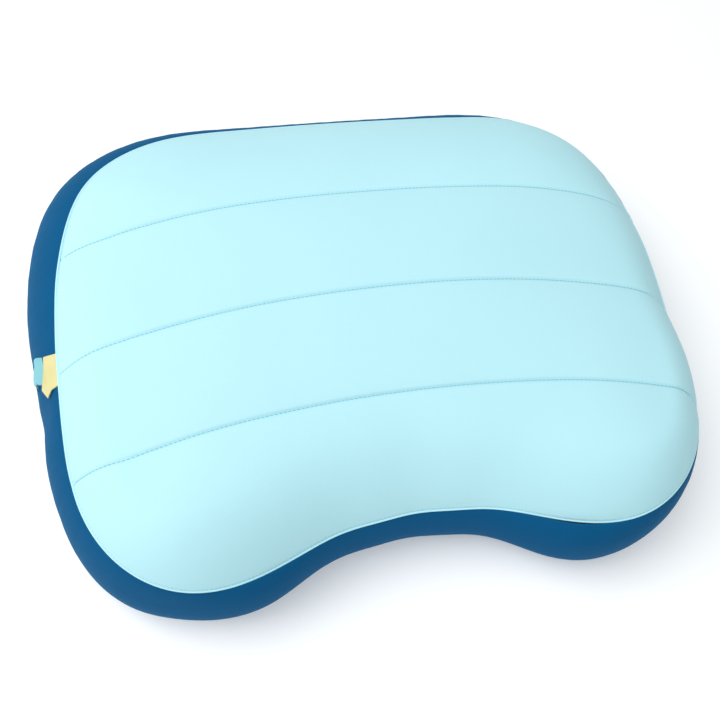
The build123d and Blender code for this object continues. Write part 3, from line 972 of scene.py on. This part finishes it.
def rrect(w, h, r, cx=0.0, cy=0.0, n=8, radii=None):
    rr = radii or (r, r, r, r)
    pts = []
    for (sx, sy, a0), q in zip(((1, 1, 0), (-1, 1, 90), (-1, -1, 180), (1, -1, 270)), rr):
        for i in range(n + 1):
            a = math.radians(a0 + 90.0 * i / n)
            pts.append((cx + sx * (w / 2 - q) + q * math.cos(a), cy + sy * (h / 2 - q) + q * math.sin(a)))
    return pts


# cap: a round lid with a plug boss, and the nearly level finger lip that shows from above
circle = [(6.9 * math.cos(2 * math.pi * i / 48), 6.9 * math.sin(2 * math.pi * i / 48)) for i in range(48)]
lid = rounded_plate("inflate_cap_lid", circle, 1.2, 0.45, V0 + AX * 1.7, EY, UPV, AX)
boss_c = [(3.1 * math.cos(2 * math.pi * i / 32), 3.1 * math.sin(2 * math.pi * i / 32)) for i in range(32)]
boss = rounded_plate("boss_tmp", boss_c, 2.5, 0.3, V0 - AX * 0.6, EY, UPV, AX)
strap = rounded_plate("strap_tmp", rrect(4.0, 3.2, 0.8, 0.0, -6.7), 0.8, 0.25, V0 + AX * 1.7, EY, UPV, AX)
drop = math.radians(20.0)
LD = np.array([-math.cos(drop), 0, -math.sin(drop)])
LN = np.array([-math.sin(drop), 0, math.cos(drop)])
lip_o = np.array([-198.6, 0.2, 65.0])


def rounded_poly(poly, r, n=7):
    out = []
    m = len(poly)
    for i in range(m):
        p0, p1, p2 = (np.array(poly[(i + o) % m], float) for o in (-1, 0, 1))
        q = r[i] if isinstance(r, (list, tuple)) else r
        a, b = p1 + (p0 - p1) / np.linalg.norm(p0 - p1) * q, p1 + (p2 - p1) / np.linalg.norm(p2 - p1) * q
        for t in np.linspace(0, 1, n):
            out.append(tuple((1 - t) ** 2 * a + 2 * t * (1 - t) * p1 + t * t * b))
    return out


tongue = rounded_plate("tongue_tmp", rounded_poly([(7.6, -2.6), (9.4, 4.7), (-9.5, 3.2), (-9.5, -2.6)], [2.6, 3.0, 3.2, 1.5]),
                       1.5, 0.5, lip_o - LN * 1.5, EY, LD, LN,
                       cup=lambda c: c + np.stack([0 * c[:, 0], 0 * c[:, 0], -0.006 * c[:, 0] ** 2], 1))
neckp = rounded_plate("neck_tmp", rrect(10.0, 5.6, 1.6, -2.8, 7.2), 1.1, 0.35, V0 + AX * 2.55, EY, UPV, AX)


def join(name, parts):
    bm = bmesh.new()
    for p in parts:
        bm.from_mesh(p.data)
    me = bpy.data.meshes.new(name)
    bm.to_mesh(me)
    bm.free()
    for p in parts:
        bpy.data.objects.remove(p)
    me.polygons.foreach_set("use_smooth", [True] * len(me.polygons))
    o = bpy.data.objects.new(name, me)
    bpy.context.scene.collection.objects.link(o)
    return o


cap = join("inflate_cap_teal", [lid, boss, strap, tongue, neckp])
finish_piece(cap, TEAL, body="inflate_cap", nodes=("inflate_cap",))

# pull tab: ribbon sewn into the edge seam, near end cut to a point
td = math.radians(27.0)
TD = np.array([-math.cos(td), 0, -math.sin(td)])
TN = np.array([-math.sin(td), 0, math.cos(td)])
tab_o = np.array([-189.2, 0.0, 75.7])
tab_pts = [(-17.4, -2.2), (2.6, -2.2), (3.6, 7.0), (-6.0, 7.4), (-13.0, 8.4), (-16.9, 9.2), (-22.2, 6.4), (-18.6, 2.8)]


def dense(poly, step=1.0):
    out = []
    for i in range(len(poly)):
        a, b = np.array(poly[i]), np.array(poly[(i + 1) % len(poly)])
        m = max(int(np.linalg.norm(b - a) / step), 1)
        for j in range(m):
            out.append(tuple(a + (b - a) * j / m))
    return out


tab = rounded_plate("pull_tab_ribbon", dense(tab_pts, 1.2), 0.85, 0.25, tab_o, EY, TD, TN, seg=2,
                    cup=lambda c: np.stack([c[:, 0], c[:, 1], c[:, 2] - 0.010 * np.maximum(c[:, 1] - 2, 0) ** 2
                                         - 0.022 * np.maximum(-13.0 - c[:, 0], 0) ** 2], 1))
finish_piece(tab, YELLOW, body="pull_tab", nodes=("pull_tab",))

# ------------------------------------------------------------------ camera, floor, light
back = Vector((-0.20409623, -0.44792068, 0.87046642))
right = Vector((0.97163487, -0.20119141, 0.12428879))
upv = Vector((0.11945884, 0.8711424, 0.47627776))
cam_d = bpy.data.cameras.new("camera")
cam = bpy.data.objects.new("camera", cam_d)
bpy.context.scene.collection.objects.link(cam)
rot = Matrix((right, upv, back)).transposed()
cam.matrix_world = Matrix.Translation(Vector((-121.854, -255.214 + YS, 524.457)) * 0.001) @ rot.to_4x4()
cam_d.sensor_width = 36.0
cam_d.lens = 870.2323 / 720.0 * 36.0
cam_d.clip_start = 0.01
bpy.context.scene.camera = cam

fm, nt, b = new_mat("floor_white")
fn = node(nt, "ShaderNodeTexNoise")
fn.inputs["Scale"].default_value = 3.0
rp = node(nt, "ShaderNodeValToRGB")
rp.color_ramp.elements[0].color = (0.83, 0.84, 0.85, 1)
rp.color_ramp.elements[1].color = (0.85, 0.86, 0.87, 1)
nt.links.new(fn.outputs["Fac"], rp.inputs["Fac"])
nt.links.new(rp.outputs["Color"], b.inputs["Base Color"])
b.inputs["Roughness"].default_value = 0.9
b.inputs["Specular IOR Level"].default_value = 0.1
b.inputs["Emission Color"].default_value = (0.97, 0.99, 1.0, 1)
b.inputs["Emission Strength"].default_value = 0.18
floor = mesh_object("floor", [(-6, -6, -0.0004), (6, -6, -0.0004), (6, 6, -0.0004), (-6, 6, -0.0004)], [(0, 1, 2, 3)], False)
floor.data.materials.append(fm)

w = bpy.data.worlds.new("studio")
bpy.context.scene.world = w
w.use_nodes = True
bg = w.node_tree.nodes["Background"]
bg.inputs[0].default_value = (0.93, 0.985, 1.0, 1)
bg.inputs[1].default_value = 0.52


def area(name, loc, target, size, power, color=(1, 1, 1)):
    d = bpy.data.lights.new(name, "AREA")
    d.shape = "RECTANGLE"
    d.size, d.size_y = size
    d.energy = power
    d.color = color
    o = bpy.data.objects.new(name, d)
    bpy.context.scene.collection.objects.link(o)
    o.location = loc
    o.rotation_euler = (Vector(target) - Vector(loc)).to_track_quat("-Z", "Y").to_euler()
    return o


area("key", (-0.82, 0.18, 1.46), (0, 0, 0.05), (1.2, 1.4), 21.2)
area("fill", (-0.50, -0.95, 1.4), (0, 0, 0.05), (1.6, 1.2), 7.0)
bpy.context.scene.view_settings.view_transform = "Standard"
bpy.context.scene.view_settings.look = "None"
